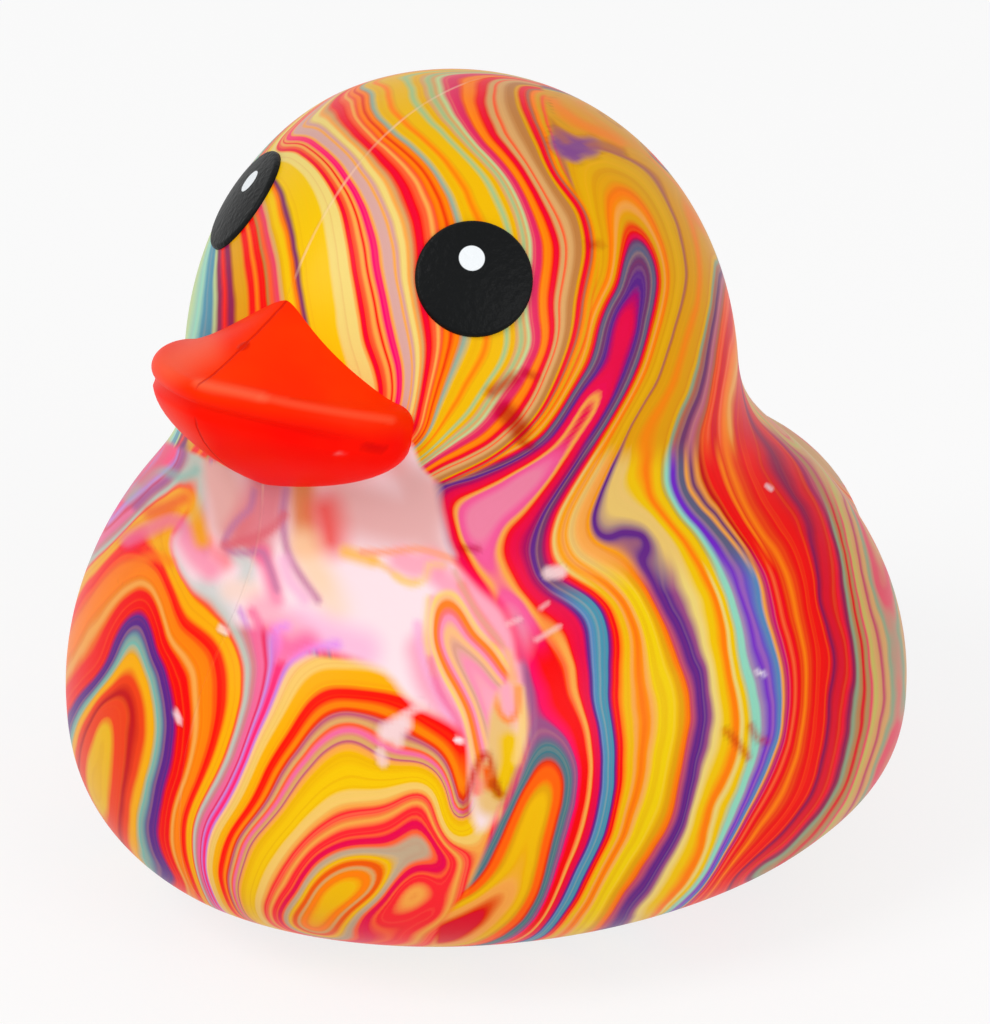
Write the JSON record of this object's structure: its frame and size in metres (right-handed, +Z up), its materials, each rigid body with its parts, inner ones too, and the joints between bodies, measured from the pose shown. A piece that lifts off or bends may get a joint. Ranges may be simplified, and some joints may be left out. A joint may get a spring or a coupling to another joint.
{
  "type": "vinyl bath duck",
  "caption": "Moulded vinyl bath duck with a round head, broad orange bill, raised black eye discs, flat base and a marbled print.",
  "frame": {"origin": "on the resting plane, under the middle of the duck's length and width", "axes": "+Z up, -Y the way the bill points, +X the duck's own left side"},
  "size_m": [0.0882, 0.0966, 0.0851],
  "materials": {
    "vinyl": "satin"
  },
  "bodies": {
    "root": {"duck": "vinyl"}
  },
  "joints": []
}
